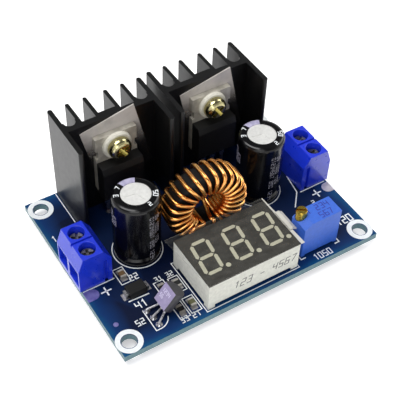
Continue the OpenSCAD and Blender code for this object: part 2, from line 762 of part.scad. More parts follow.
module meter_chip_leads() {
    color([0.75, 0.75, 0.75])
    for (i = [-4.5:1:4.5], m = [0, 1])
    translate([meter_at[0] + 0.65 * i - 0.12, meter_at[1], board_z - 0.02]) mirror([0, m, 0])
        rotate([90, 0, 90]) linear_extrude(0.24)
        polygon([[2.22, -0.65], [2.22, -0.5], [2.45, -0.5], [2.6, 0], [3.2, 0], [3.2, -0.15],
            [2.72, -0.15], [2.58, -0.65]]);
}

circuit_board();
tinned_pads();
solder_joints();
heatsink(0);  // heatsink_left
heatsink(1);  // heatsink_right
heatsink_pins(0);  // heatsink_left_pins
heatsink_pins(1);  // heatsink_right_pins
insulator(0);  // insulator_left
insulator(1);  // insulator_right
device_tab(0);  // regulator_tab
device_body(0);  // regulator_body
device_leads(0);  // regulator_leads
device_tab(1);  // rectifier_tab
device_body(1);  // rectifier_body
device_leads(1);  // rectifier_leads
bushing(0);  // bushing_left
bushing(1);  // bushing_right
fixing_screw(0);  // fixing_screw_left
fixing_screw(1);  // fixing_screw_right
choke_core();
choke_winding();
capacitor_can(0);  // capacitor_left_can
capacitor_sleeve(0);  // capacitor_left_sleeve
capacitor_leads(0);  // capacitor_left_leads
capacitor_can(1);  // capacitor_right_can
capacitor_sleeve(1);  // capacitor_right_sleeve
capacitor_leads(1);  // capacitor_right_leads
terminal_housing(0);  // input_housing
terminal_boxes(0);  // input_boxes
terminal_leaf(0, -1);  // input_leaf_1
terminal_leaf(0, 1);  // input_leaf_2
terminal_screw(0, -1);  // input_screw_1
terminal_screw(0, 1);  // input_screw_2
terminal_housing(1);  // output_housing
terminal_boxes(1);  // output_boxes
terminal_leaf(1, -1);  // output_leaf_1
terminal_leaf(1, 1);  // output_leaf_2
terminal_screw(1, -1);  // output_screw_1
terminal_screw(1, 1);  // output_screw_2
display_shell();
display_face();
display_segments();
display_pins();
display_film();
trimmer_body();
trimmer_screw();
trimmer_pins();
transistor_body();
transistor_leads();
diode_body();
diode_ends();
chip_resistor(1);  // chip_resistor_1
chip_resistor(2);  // chip_resistor_2
chip_resistor(3);  // chip_resistor_3
chip_capacitor(1);  // chip_capacitor_1
chip_capacitor(2);  // chip_capacitor_2
meter_chip_body();
meter_chip_leads();
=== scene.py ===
"""Looks, light and camera of the step-down converter module with a voltmeter."""
import json
import math

import bmesh
import bpy
from mathutils import Matrix, Vector


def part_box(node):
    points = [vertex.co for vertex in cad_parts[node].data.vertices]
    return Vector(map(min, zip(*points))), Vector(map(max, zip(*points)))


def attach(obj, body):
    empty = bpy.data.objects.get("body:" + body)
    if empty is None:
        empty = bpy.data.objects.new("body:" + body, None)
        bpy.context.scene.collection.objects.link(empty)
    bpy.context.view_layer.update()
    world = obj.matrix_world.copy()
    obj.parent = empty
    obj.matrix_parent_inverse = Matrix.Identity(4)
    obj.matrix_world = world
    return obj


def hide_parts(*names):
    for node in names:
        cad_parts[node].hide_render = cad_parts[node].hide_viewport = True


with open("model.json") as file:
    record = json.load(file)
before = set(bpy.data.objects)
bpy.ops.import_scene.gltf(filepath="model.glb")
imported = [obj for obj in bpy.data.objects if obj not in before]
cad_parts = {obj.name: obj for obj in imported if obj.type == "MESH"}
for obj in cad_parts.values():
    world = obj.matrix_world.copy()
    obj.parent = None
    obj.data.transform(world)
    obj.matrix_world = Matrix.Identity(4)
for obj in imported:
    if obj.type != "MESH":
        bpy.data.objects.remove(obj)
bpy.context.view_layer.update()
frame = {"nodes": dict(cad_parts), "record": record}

scene = bpy.context.scene
MM = 0.001
BODY = "module"

# ---------- places taken from the frame ----------

board_low, board_high = (Vector(v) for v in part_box("circuit_board"))
board_top = board_high.z
board_middle = (board_low + board_high) / 2


def node_box(name):
    low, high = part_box(name)
    return Vector(low), Vector(high)


def node_middle(name):
    low, high = node_box(name)
    return (low + high) / 2


# ---------- materials ----------

def tone(red, green, blue):
    """A colour given as it looks on a screen, 0 to 255, in linear light."""
    def linear(value):
        value /= 255
        return value / 12.92 if value <= 0.04045 else ((value + 0.055) / 1.055) ** 2.4
    return (linear(red), linear(green), linear(blue), 1.0)


class Look:
    """A material in the making: a Principled shader with a few node helpers."""

    def __init__(self, name, base, rough=0.5, metal=0.0, coat=0.0, ior=1.5):
        self.material = bpy.data.materials.new(name)
        self.material.use_nodes = True
        self.nodes = self.material.node_tree.nodes
        self.links = self.material.node_tree.links
        self.shader = self.nodes["Principled BSDF"]
        self.set("Base Color", base)
        self.set("Roughness", rough)
        self.set("Metallic", metal)
        self.set("Coat Weight", coat)
        self.set("Coat Roughness", 0.08)
        self.set("IOR", ior)
        self.place = self.add("ShaderNodeTexCoord").outputs["Object"]

    def add(self, kind, **values):
        node = self.nodes.new(kind)
        for name, value in values.items():
            setattr(node, name, value)
        return node

    def set(self, socket, value):
        self.shader.inputs[socket].default_value = value

    def link(self, output, target):
        self.links.new(output, target)

    def math(self, operation, first, second=None, clamp=False):
        node = self.add("ShaderNodeMath", operation=operation, use_clamp=clamp)
        for socket, value in zip(node.inputs, (first, second)):
            if value is None:
                continue
            if isinstance(value, (int, float)):
                socket.default_value = value
            else:
                self.link(value, socket)
        return node.outputs[0]

    def axis(self, letter, vector=None):
        """One coordinate of the place on the surface, or of another vector."""
        node = self.add("ShaderNodeSeparateXYZ")
        self.link(vector or self.place, node.inputs[0])
        return node.outputs["XYZ".index(letter)]

    def facing(self, letter):
        """How much the surface faces along an axis, from -1 to 1."""
        return self.axis(letter, self.add("ShaderNodeNewGeometry").outputs["Normal"])

    def upright(self):
        """1 on upright faces, 0 on level ones."""
        return self.math("LESS_THAN", self.math("ABSOLUTE", self.facing("Z")), 0.5)

    def share(self, value, low, high):
        """How far a value is from low to high, from 0 to 1."""
        node = self.add("ShaderNodeMapRange")
        node.inputs["From Min"].default_value = low
        node.inputs["From Max"].default_value = high
        self.link(value, node.inputs["Value"])
        return node.outputs[0]

    def noise(self, per_mm, detail=3, rough=0.5, stretch=(1, 1, 1)):
        """Noise with about per_mm blobs in a millimetre, from 0 to 1."""
        mapping = self.add("ShaderNodeMapping")
        mapping.inputs["Scale"].default_value = stretch
        self.link(self.place, mapping.inputs["Vector"])
        node = self.add("ShaderNodeTexNoise")
        node.inputs["Scale"].default_value = per_mm / MM
        node.inputs["Detail"].default_value = detail
        node.inputs["Roughness"].default_value = rough
        self.link(mapping.outputs[0], node.inputs["Vector"])
        return node.outputs["Fac"]

    def ramp(self, value, *stops):
        """Colours or greys by value: stops are (position, colour)."""
        node = self.add("ShaderNodeValToRGB")
        elements = node.color_ramp.elements
        while len(elements) < len(stops):
            elements.new(0.5)
        for element, (position, colour) in zip(elements, stops):
            element.position = position
            element.color = colour if isinstance(colour, tuple) else (colour, colour, colour, 1)
        self.link(value, node.inputs[0])
        return node.outputs[0]

    def mix(self, factor, first, second):
        node = self.add("ShaderNodeMix", data_type="RGBA")
        for socket, value in zip((node.inputs[0], node.inputs[6], node.inputs[7]), (factor, first, second)):
            if isinstance(value, (tuple, int, float)):
                socket.default_value = value
            else:
                self.link(value, socket)
        return node.outputs[2]

    def colour(self, output):
        self.link(output, self.shader.inputs["Base Color"])

    def rough(self, value, low, high):
        """Roughness that wanders between low and high with a 0 to 1 value."""
        node = self.add("ShaderNodeMapRange")
        node.inputs["To Min"].default_value = low
        node.inputs["To Max"].default_value = high
        self.link(value, node.inputs["Value"])
        self.link(node.outputs[0], self.shader.inputs["Roughness"])

    def bump(self, height, depth_mm, strength=0.5):
        node = self.add("ShaderNodeBump")
        node.inputs["Distance"].default_value = depth_mm * MM
        node.inputs["Strength"].default_value = strength
        self.link(height, node.inputs["Height"])
        self.link(node.outputs[0], self.shader.inputs["Normal"])

    def band(self, letter, low, high, soft):
        """1 between two places along an axis, in metres, with edges that are soft in millimetres."""
        place = self.axis(letter)
        half = soft * MM / 2
        up = self.share(place, low - half, low + half)
        down = self.share(place, high + half, high - half)
        return self.math("MULTIPLY", up, down)


def shaded(base, share):
    """A colour made darker, or lighter where the share is over 1."""
    return tuple(min(1, c * share) for c in base[:3]) + (1,)


POUR_EDGE = (1.2, 6.5)  # millimetres in from the board's edge: where the pour starts, and where it is full
POUR_WANDER = 3.5


def board_look():
    """Blue solder mask: deep over copper, paler where the pour stops, bare laminate on the edges."""
    look = Look("solder_mask", tone(6, 34, 80), ior=1.25)
    size = board_high - board_low
    edge_x = look.math("SUBTRACT", size.x / 2, look.math("ABSOLUTE", look.axis("X")))
    edge_y = look.math("SUBTRACT", size.y / 2, look.math("ABSOLUTE", look.axis("Y")))
    near = look.math("MINIMUM", edge_x, edge_y)
    wander = look.math("MULTIPLY", look.noise(0.12, 2), POUR_WANDER * MM)
    inside = look.share(look.math("ADD", near, wander), *(v * MM for v in POUR_EDGE))
    mask = look.ramp(inside, (0.0, tone(4, 76, 118)), (0.4, tone(4, 44, 94)), (1.0, tone(3, 16, 46)))
    pour = look.ramp(look.noise(0.09, 1), (0.46, tone(0, 0, 0)), (0.5, tone(255, 255, 255)))
    mask = look.mix(look.math("MULTIPLY", pour, 0.16), mask, tone(8, 50, 104))
    layers = look.noise(3, 2, stretch=(1, 1, 8))
    glass = look.ramp(layers, (0.3, tone(80, 116, 128)), (0.7, tone(124, 152, 156)))
    look.colour(look.mix(look.upright(), mask, glass))
    look.rough(look.noise(1.0), 0.34, 0.46)
    look.bump(look.noise(1.2, 2), 0.012, 0.4)
    return look.material


def anodised_look():
    """Black anodised aluminium with faint streaks along the extrusion."""
    look = Look("black_anodised", tone(10, 10, 11), ior=1.4)
    streak = look.noise(3, 2, stretch=(1, 1, 0.02))
    look.colour(look.ramp(streak, (0.3, tone(7, 7, 8)), (0.7, tone(15, 15, 16))))
    look.rough(look.noise(0.8), 0.26, 0.38)
    look.bump(streak, 0.004)
    return look.material


def metal_look(name, base, rough, per_mm=2.0, brushed=(1, 1, 1)):
    """Bare metal, slightly uneven in tone and gloss."""
    look = Look(name, base, metal=1.0)
    look.colour(look.ramp(look.noise(per_mm), (0.3, shaded(base, 0.86)), (0.7, base)))
    look.rough(look.noise(per_mm * 0.7), *rough)
    look.bump(look.noise(per_mm * 5, 2, stretch=brushed), 0.01)
    return look.material


def plastic_look(name, base, rough, coat=0.0, spread=0.08, depth=0.012, per_mm=1.5, ior=1.5):
    """Moulded plastic, slightly uneven in tone, gloss and surface."""
    look = Look(name, base, coat=coat, ior=ior)
    dark, light = shaded(base, 1 - spread), shaded(base, 1 + spread)
    look.colour(look.ramp(look.noise(per_mm), (0.3, dark), (0.7, light)))
    look.rough(look.noise(per_mm * 0.6), *rough)
    look.bump(look.noise(per_mm * 4, 2), depth)
    return look.material


PAINTED_SHEEN_REACH = (11.5, 5.5)   # millimetres under a pad's top: where the painted sheen of reflected light ends, and where it is full


def pad_look(node):
    """Clear silicone-coated film with a patchy painted sheen of reflected light, pale and hazy round the
    tab and fading to dark and clear at its foot.
    """
    top = node_box(node)[1].z
    look = Look(node, tone(196, 190, 184), rough=0.22)
    # painted sheen: paler and more opaque towards the pad's top, standing in for reflected light
    height = look.share(look.axis("Z"), *(top - v * MM for v in PAINTED_SHEEN_REACH))
    cloud = look.math("MULTIPLY", look.math("SUBTRACT", look.noise(0.25, 3), 0.5), 0.5)
    painted_sheen = look.math("ADD", height, cloud, clamp=True)
    # painted highlight colours, from dark shade at the foot to pale reflected light near the tab
    sheen_stops = ((0.0, tone(46, 44, 46)), (0.6, tone(150, 145, 141)), (1.0, tone(198, 192, 187)))
    look.colour(look.ramp(painted_sheen, *sheen_stops))
    look.link(look.ramp(painted_sheen, (0.0, 0.22), (1.0, 0.93)), look.shader.inputs["Alpha"])
    look.bump(look.noise(0.5, 2), 0.05, 0.4)
    return look.material


def copper_look():
    """Enamelled copper, from amber to pale gold."""
    look = Look("enamelled_wire", tone(248, 178, 92), metal=1.0, coat=0.7)
    enamel = ((0.3, tone(226, 140, 58)), (0.55, tone(246, 176, 92)), (0.8, tone(254, 210, 138)))
    look.colour(look.ramp(look.noise(0.35, 3), *enamel))
    look.rough(look.noise(1.2), 0.2, 0.3)
    look.bump(look.noise(3, 2), 0.01, 0.4)
    return look.material


CHIP_CAP = 0.45         # how far a chip part's tinned ends reach along it


def chip_look(node, middle):
    """A chip part: tinned caps at both ends of its length along Y."""
    low, high = node_box(node)
    look = Look(node, middle, rough=0.4)
    core = look.band("Y", low.y + CHIP_CAP * MM, high.y - CHIP_CAP * MM, 0.06)
    grain = look.noise(4)
    body = look.ramp(grain, (0.3, shaded(middle, 0.8)), (0.7, middle))
    look.colour(look.mix(core, tone(192, 188, 182), body))
    look.link(look.math("MULTIPLY", look.math("SUBTRACT", 1.0, core), 0.85), look.shader.inputs["Metallic"])
    look.rough(grain, 0.3, 0.45)
    look.bump(look.noise(6, 2), 0.01)
    return look.material


PULL_TAB = 1.9          # how far the film's pull tab reaches in from its right end


def film_look():
    """Clear film with pale cut edges, and the hazy pull tab at its right end."""
    right_end = node_box("display_film")[1].x
    look = Look("clear_film", tone(226, 224, 214), rough=0.08, ior=1.35)
    tab = look.math("GREATER_THAN", look.axis("X"), right_end - PULL_TAB * MM)
    crease = look.noise(0.35, 2, stretch=(1, 2.5, 1))
    sheet = look.ramp(crease, (0.35, 0.005), (0.75, 0.025))
    rim = look.math("MULTIPLY", look.upright(), 0.3)
    solid = look.math("MULTIPLY", tab, 0.62)
    shown = look.math("MAXIMUM", look.math("MAXIMUM", sheet, rim), solid)
    look.link(shown, look.shader.inputs["Alpha"])
    look.rough(look.noise(0.8), 0.06, 0.14)
    look.bump(crease, 0.12)
    return look.material


tin = metal_look("tin", tone(205, 204, 208), (0.22, 0.36))
solder = metal_look("solder", tone(190, 190, 194), (0.18, 0.34), 1.2)
ink = plastic_look("silkscreen_ink", tone(226, 230, 232), (0.5, 0.65), spread=0.05)
cream = plastic_look("cream_nylon", tone(214, 211, 198), (0.32, 0.45))
epoxy = plastic_look("black_epoxy", tone(12, 12, 13), (0.4, 0.55), depth=0.012, per_mm=3, ior=1.4)
passivated = metal_look("yellow_zinc", tone(196, 188, 140), (0.16, 0.28))
zinc = metal_look("zinc", tone(132, 130, 132), (0.28, 0.42), brushed=(1, 1, 6))
brass = metal_look("brass", tone(214, 182, 78), (0.2, 0.32))
anodised = anodised_look()

# ---------- making pieces ----------


def new_piece(name, material):
    """An empty mesh object on the module's body, given its material."""
    mesh = bpy.data.meshes.new(name)
    piece = bpy.data.objects.new(name, mesh)
    scene.collection.objects.link(piece)
    mesh.materials.append(material)
    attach(piece, BODY)
    return piece


def flat(origin, across, up):
    """A plane to draw on: gives the place of a point (u, v) in millimetres, h above the plane."""
    origin, across, up = Vector(origin), Vector(across).normalized(), Vector(up).normalized()
    out = across.cross(up)
    return lambda u, v, h: origin + (across * u + up * v + out * h) * MM


def wrapped(axis, radius, foot, start):
    """A cylinder to draw on, radius in millimetres, from an angle in degrees and a height on it.
    Rows run down it."""
    def put(u, v, h):
        angle = math.radians(start) + v / radius
        reach = (radius + h) * MM
        return Vector((axis.x + reach * math.cos(angle), axis.y + reach * math.sin(angle), foot - u * MM))
    return put


def around(axis, radius, height, start):
    """A flat ring to draw on: rows run round it with their feet towards the axis."""
    def put(u, v, h):
        angle = math.radians(start) - u / radius
        reach = (radius + v) * MM
        return Vector((axis.x + reach * math.cos(angle), axis.y + reach * math.sin(angle), height + h * MM))
    return put


INK_RISE = 0.02         # how far printed marks stand out


def stroke(mesh, put, points, width, closed=False):
    """Adds a ribbon of even width along points (u, v), standing a little off its surface."""
    points = [Vector(p) for p in points]
    count = len(points)
    sides = []
    for i, point in enumerate(points):
        before = points[i - 1] if i or closed else None
        after = points[(i + 1) % count] if i < count - 1 or closed else None
        ways = [(b - a).normalized() for a, b in ((before, point), (point, after)) if a and b]
        mean = sum(ways, Vector((0, 0))).normalized()
        across = Vector((-mean.y, mean.x))
        reach = width / 2 / max(0.4, abs(across.dot(Vector((-ways[0].y, ways[0].x)))))
        sides.append((point + across * reach, point - across * reach))
    rings = [[mesh.verts.new(put(p.x, p.y, h)) for p, h in
              ((left, 0), (right, 0), (right, INK_RISE), (left, INK_RISE))] for left, right in sides]
    for i in range(count if closed else count - 1):
        a, b = rings[i], rings[(i + 1) % count]
        for k in range(4):
            mesh.faces.new((a[k], a[(k + 1) % 4], b[(k + 1) % 4], b[k]))
    if not closed:
        mesh.faces.new(rings[0])
        mesh.faces.new(rings[-1][::-1])


def arc(middle, radius, start, end, steps):
    """Flat points along an arc, angles in degrees."""
    angles = [math.radians(start + (end - start) * i / steps) for i in range(steps + 1)]
    return [(middle[0] + radius * math.cos(a), middle[1] + radius * math.sin(a)) for a in angles]


CIRCLE_SIDES = 48


def circle(middle, radius):
    """Flat points all round, to be closed."""
    return arc(middle, radius, 0, 360 - 360 / CIRCLE_SIDES, CIRCLE_SIDES - 1)


def frame_of(middle, width, depth):
    """Corners of an upright rectangle."""
    x, y = middle[0], middle[1]
    return [(x - width / 2, y - depth / 2), (x + width / 2, y - depth / 2),
            (x + width / 2, y + depth / 2), (x - width / 2, y + depth / 2)]


def settle(piece, mesh):
    bmesh.ops.recalc_face_normals(mesh, faces=mesh.faces)
    mesh.to_mesh(piece.data)
    mesh.free()


# Plain figures as strokes on a grid one unit wide and two high
FIGURES = {
    "0": [[(0, 0), (1, 0), (1, 2), (0, 2), (0, 0)]],
    "1": [[(0.2, 1.6), (0.6, 2), (0.6, 0)]],
    "2": [[(0, 2), (1, 2), (1, 1), (0, 1), (0, 0), (1, 0)]],
    "3": [[(0, 2), (1, 2), (1, 0), (0, 0)], [(0.2, 1), (1, 1)]],
    "4": [[(0, 2), (0, 1), (1, 1)], [(1, 2), (1, 0)]],
    "5": [[(1, 2), (0, 2), (0, 1), (1, 1), (1, 0), (0, 0)]],
    "6": [[(1, 2), (0, 2), (0, 0), (1, 0), (1, 1), (0, 1)]],
    "7": [[(0, 2), (1, 2), (0.4, 0)]],
    "8": [[(0, 0), (1, 0), (1, 2), (0, 2), (0, 0)], [(0, 1), (1, 1)]],
    "9": [[(1, 1), (0, 1), (0, 2), (1, 2), (1, 0), (0, 0)]],
    "-": [[(0, 1), (1, 1)]],
}


FIGURE_PITCH = 1.6      # from one figure to the next, where a figure is 1 wide


def write(mesh, put, text, place, height, width, lean=0.0):
    """Writes plain figures as strokes, with the lower left corner of the first at place."""
    unit = height / 2
    for order, character in enumerate(text):
        for line in FIGURES.get(character, []):
            points = [(place[0] + (x + order * FIGURE_PITCH + lean * y) * unit, place[1] + y * unit)
                      for x, y in line]
            closed = points[0] == points[-1]
            stroke(mesh, put, points[:-1] if closed else points, width, closed)


# ---------- CAD nodes: better materials and softened edges ----------


def dress(node, material, bevel=0.0):
    """Gives a CAD node its material, and rounds its edges a little where asked."""
    piece = frame["nodes"][node]
    piece.data.materials.clear()
    piece.data.materials.append(material)
    for polygon in piece.data.polygons:
        polygon.material_index = 0
    if bevel:
        weld = piece.modifiers.new("weld", "WELD")
        weld.merge_threshold = 1e-6
        rounding = piece.modifiers.new("edges", "BEVEL")
        rounding.width = bevel * MM
        rounding.segments = 2
        rounding.limit_method = "ANGLE"
        rounding.angle_limit = math.radians(35)
        rounding.harden_normals = True


def dress_all():
    dress("circuit_board", board_look())
    dress("tinned_pads", tin_pad_look())
    dress("solder_joints", solder)
    for side in ("left", "right"):
        dress(f"heatsink_{side}", anodised, 0.12)
        dress(f"heatsink_{side}_pins", tin)
        dress(f"insulator_{side}", pad_look(f"insulator_{side}"))
        dress(f"bushing_{side}", cream)
        dress(f"fixing_screw_{side}", passivated)
        dress(f"capacitor_{side}_can", disc_look())
        dress(f"capacitor_{side}_sleeve", sleeve_look(side))
        dress(f"capacitor_{side}_leads", tin)
    tab = tab_look()
    for device in ("regulator", "rectifier"):
        dress(f"{device}_tab", tab, 0.08)
        dress(f"{device}_body", epoxy, 0.1)
        dress(f"{device}_leads", tin)
    dress("choke_core", plastic_look("coated_core", tone(7, 7, 7), (0.5, 0.7), spread=0.3, ior=1.3))
    blue = plastic_look("terminal_blue", tone(22, 50, 206), (0.24, 0.34), coat=0.3, spread=0.06, ior=1.6)
    for terminal in ("input", "output"):
        dress(f"{terminal}_housing", blue, 0.09)
        dress(f"{terminal}_boxes", zinc)
        for pole in (1, 2):
            dress(f"{terminal}_leaf_{pole}", passivated)
            dress(f"{terminal}_screw_{pole}", zinc)
    dress("display_shell", plastic_look("white_shell", tone(226, 226, 216), (0.5, 0.65), depth=0.03), 0.08)
    dress("display_face", plastic_look("grey_face", tone(50, 49, 46), (0.5, 0.65), ior=1.2))
    dress("display_segments", plastic_look("segment_resin", tone(168, 166, 146), (0.4, 0.55), ior=1.35))
    dress("display_pins", tin)
    dress("display_film", film_look())
    dress("trimmer_body", plastic_look("trimmer_blue", tone(52, 100, 204), (0.35, 0.5), spread=0.06), 0.1)
    dress("trimmer_screw", brass)
    dress("trimmer_pins", tin)
    dress("transistor_body", case_look())
    dress("transistor_leads", tin)
    dress("diode_body", epoxy, 0.06)
    dress("diode_ends", tin)
    for i in (1, 2, 3):
        dress(f"chip_resistor_{i}", chip_look(f"chip_resistor_{i}", tone(18, 18, 20)))
    for i, ceramic in ((1, tone(92, 92, 58)), (2, tone(104, 78, 44))):
        dress(f"chip_capacitor_{i}", chip_look(f"chip_capacitor_{i}", ceramic))
    dress("meter_chip_body", epoxy, 0.08)
    dress("meter_chip_leads", tin)


def tab_look():
    """Tinned copper, dulled, so that it stays pale where it faces dark things."""
    look = Look("device_tab", tone(196, 192, 180), metal=0.55)
    look.colour(look.ramp(look.noise(0.5, 4), (0.3, tone(168, 163, 152)), (0.7, tone(206, 202, 190))))
    look.rough(look.noise(1.4), 0.42, 0.58)
    look.bump(look.noise(6, 2), 0.01)
    return look.material


EDGE_LANDS = 4.5        # lands nearer than this to the board's ends are its edge lands


def tin_pad_look():
    """Lands by the board's left edge are lilac, by its right edge pale, and the rest are grey."""
    look = Look("tinned_pad", tone(150, 144, 170), metal=0.5)
    far = look.math("ABSOLUTE", look.axis("X"))
    outer = look.math("GREATER_THAN", far, board_high.x - EDGE_LANDS * MM)
    right = look.math("GREATER_THAN", look.axis("X"), 0.0)
    cloud = look.noise(0.8)
    grey = look.ramp(cloud, (0.3, tone(120, 118, 120)), (0.7, tone(176, 174, 174)))
    left_pad = look.ramp(cloud, (0.3, tone(92, 86, 150)), (0.7, tone(136, 130, 184)))
    right_pad = look.ramp(cloud, (0.3, tone(178, 172, 186)), (0.7, tone(214, 208, 216)))
    look.colour(look.mix(outer, grey, look.mix(right, left_pad, right_pad)))
    look.rough(look.noise(1.0), 0.3, 0.5)
    look.bump(look.noise(1.5, 2), 0.03, 0.6)
    return look.material


def disc_look():
    """Pale matt aluminium of a capacitor's top."""
    look = Look("can_aluminium", tone(214, 214, 211), metal=0.35)
    look.colour(look.ramp(look.noise(1.5), (0.3, tone(222, 222, 219)), (0.7, tone(236, 236, 233))))
    look.rough(look.noise(2.0), 0.35, 0.5)
    look.bump(look.noise(8, 2), 0.006, 0.4)
    return look.material


STRIPE = (64, 112)      # the pole stripe's edges round a capacitor, in degrees


def sleeve_look(side):
    """Glossy black sleeve with a lilac-white stripe up its back and over its shoulder."""
    look = Look(f"sleeve_{side}", tone(5, 5, 7), coat=0.1, ior=1.4)
    middle = node_middle(f"capacitor_{side}_sleeve")
    across = look.math("SUBTRACT", look.axis("X"), middle.x)
    along = look.math("SUBTRACT", look.axis("Y"), middle.y)
    angle = look.math("ARCTAN2", along, across)
    past_first = look.math("GREATER_THAN", angle, math.radians(STRIPE[0]))
    before_last = look.math("LESS_THAN", angle, math.radians(STRIPE[1]))
    stripe = look.math("MULTIPLY", past_first, before_last)
    black = look.ramp(look.noise(0.6), (0.3, tone(4, 4, 6)), (0.7, tone(8, 8, 11)))
    pale = look.ramp(look.noise(0.9), (0.3, tone(150, 146, 176)), (0.7, tone(186, 182, 208)))
    look.colour(look.mix(stripe, black, pale))
    look.rough(look.noise(0.9), 0.15, 0.25)
    look.bump(look.noise(0.5, 2, stretch=(1, 1, 0.3)), 0.04, 0.4)
    return look.material


def case_look():
    """Black plastic; its flat face, leaning back to the left, has a painted lilac sheen of reflected light.
    """
    look = Look("transistor_case", tone(46, 44, 50), rough=0.35)
    # painted highlight: faces turned towards -X get a pale lilac colour standing in for reflected light,
    # while the other sides stay dark
    front = look.math("LESS_THAN", look.facing("X"), -0.75)
    grain = look.noise(1.2)
    side = look.ramp(grain, (0.3, tone(42, 40, 46)), (0.7, tone(56, 54, 62)))
    face = look.ramp(grain, (0.3, tone(140, 130, 166)), (0.7, tone(156, 146, 180)))
    look.colour(look.mix(front, side, face))
    look.rough(grain, 0.3, 0.42)
    look.bump(look.noise(5, 2), 0.015)
    return look.material


dress_all()

# ---------- the winding as one smooth wire ----------

WIRE_D = 0.9
CORE_DEPTH = 5.0
CORE_HOLE = 8.9
HALF_TURNS = 11
TURN_ANGLE = 13.7       # from one turn to the next round the ring, in degrees
COIL_YAW = -5
TURN_POINTS = 28
SQUARENESS = 3.3        # how square a turn is: 2 is an ellipse
BULGE = 0.25            # how far a turn stands off the core's flat sides
WIRE_SIDES = 14
START_HOLE = (-6.9, -7.0)       # the wire's two holes in the board
FINISH_HOLE = (-1.0, -7.0)
LEAD_END = 0.3          # height of the wire's ends


def winding_path():
    """The wire's middle line in millimetres, from the board through every turn and back to it."""
    low, high = (v / MM for v in node_box("choke_core"))
    middle = (low + high) / 2
    lane = WIRE_D / 2 + 0.05
    inner = CORE_HOLE / 2 - lane
    outer = (high.z - low.z) / 2 + lane
    side = CORE_DEPTH / 2 + lane
    bulge = side + BULGE
    top = board_top / MM
    yaw = math.radians(COIL_YAW)

    def on_ring(angle, radius, depth):
        a = math.radians(angle)
        return Vector((middle.x + radius * math.cos(a) * math.cos(yaw) - depth * math.sin(yaw),
                       middle.y + radius * math.cos(a) * math.sin(yaw) + depth * math.cos(yaw),
                       middle.z + radius * math.sin(a)))

    def turn_angle(turn):
        return 90 + TURN_ANGLE * turn

    def squared(value):
        return math.copysign(abs(value) ** (2 / SQUARENESS), value)

    def over(hole, right, back, height):
        """A point by a lead's hole, at a height above the board."""
        return Vector((hole[0] + right, hole[1] + back, top + height))

    first, last = turn_angle(HALF_TURNS), turn_angle(-HALF_TURNS)
    fold = inner - WIRE_D - 0.1
    start = [Vector((*START_HOLE, LEAD_END)), over(START_HOLE, 0, 0, 5.2), over(START_HOLE, 0.4, 0.1, 6.3),
             over(START_HOLE, 1.3, 0.2, 6.9), over(START_HOLE, 2.4, 0.25, 6.8),
             on_ring(first + 6, inner - 0.1, -side - 0.6), on_ring(first + 3, inner - 0.05, -side + 0.3)]
    turns = []
    for i in range(2 * HALF_TURNS * TURN_POINTS + 1):
        phase = math.pi - math.tau * i / TURN_POINTS
        radius = (inner + outer) / 2 + (outer - inner) / 2 * squared(math.cos(phase))
        depth = bulge * squared(math.sin(phase))
        turns.append(on_ring(turn_angle(HALF_TURNS - i / TURN_POINTS), radius, depth))
    finish = [on_ring(last - 1, inner, side - 0.5), on_ring(last - 3, inner - 0.3, side + 0.1),
              on_ring(last - 5, fold + 0.3, side + 0.1), on_ring(last - 7, fold, side - 0.5),
              on_ring(last - 16, fold, 0), on_ring(last - 26, fold, -side),
              over(FINISH_HOLE, 0.05, 0.35, 6.9), over(FINISH_HOLE, 0, 0, 6.1),
              Vector((*FINISH_HOLE, LEAD_END))]
    return rounded(start) + turns + rounded(finish)


def rounded(points, steps=4):
    """The same line with its inner corners rounded by a smooth curve through its points."""
    line = [points[0]]
    for i in range(1, len(points)):
        a, b = points[i - 1], points[i]
        before = points[i - 2] if i > 1 else a
        after = points[i + 1] if i + 1 < len(points) else b
        if (b - a).length > 3 or i == 1:
            line.append(b)
            continue
        for k in range(1, steps + 1):
            t = k / steps
            line.append(0.5 * (2 * a + (b - before) * t + (2 * before - 5 * a + 4 * b - after) * t * t
                               + (3 * a - before - 3 * b + after) * t ** 3))
    return line


def winding():
    """A round wire swept along its path without twist, in the place of the solid one."""
    piece = new_piece("winding", copper_look())
    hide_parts("choke_winding")
    path = winding_path()
    mesh = bmesh.new()
    side = Vector((1, 0.3, 0))
    rings = []
    for i, point in enumerate(path):
        way = (path[min(i + 1, len(path) - 1)] - path[max(i - 1, 0)]).normalized()
        side = (side - way * side.dot(way)).normalized()
        other = way.cross(side)
        rings.append([mesh.verts.new((point + (side * math.cos(a) + other * math.sin(a)) * WIRE_D / 2) * MM)
                      for a in (math.tau * k / WIRE_SIDES for k in range(WIRE_SIDES))])
    for a, b in zip(rings, rings[1:]):
        for k in range(WIRE_SIDES):
            mesh.faces.new((a[k], a[(k + 1) % WIRE_SIDES], b[(k + 1) % WIRE_SIDES], b[k])).smooth = True
    mesh.faces.new(rings[0][::-1])
    mesh.faces.new(rings[-1])
    settle(piece, mesh)


# ---------- printed marks ----------

LINE = 0.2
CURVED_LINE = 0.22
BOLD = 0.26
SIGN = 0.34             # stroke of the poles' signs
LABEL_WEIGHT = 0.145    # stroke width as a share of a label's height
HOLE_RING = (2.35, 1.1)     # radius and width
OUTLINE_GAP = 0.35      # from a part to the line round it

# Widths and depths of the boxes printed round the chip parts
CHIP_BOXES = (
    ("chip_resistor_1", 2.3, 4.2),
    ("chip_resistor_2", 2.3, 4.2),
    ("chip_resistor_3", 2.3, 4.2),
    ("chip_capacitor_1", 2.4, 4.2),
    ("chip_capacitor_2", 2.3, 4.4),
)

# Single printed lines, each with its width
BOARD_LINES = (
    ([(-24.8, -12.0), (-20.0, -12.2)], 0.28),               # in front of the diode
    ([(-24.4, 23.3), (-24.4, 13.3)], LINE),                 # left of the left heatsink
    ([(-31.8, -5.05), (-24.4, -5.0)], BOLD),                # in front of the input terminal
    ([(24.6, -4.6), (31.6, -4.5)], BOLD),                   # in front of the output terminal
    ([(24.9, 1.3), (23.9, -4.2), (20.8, -7.9)], BOLD),      # from the output terminal to the trimmer
)

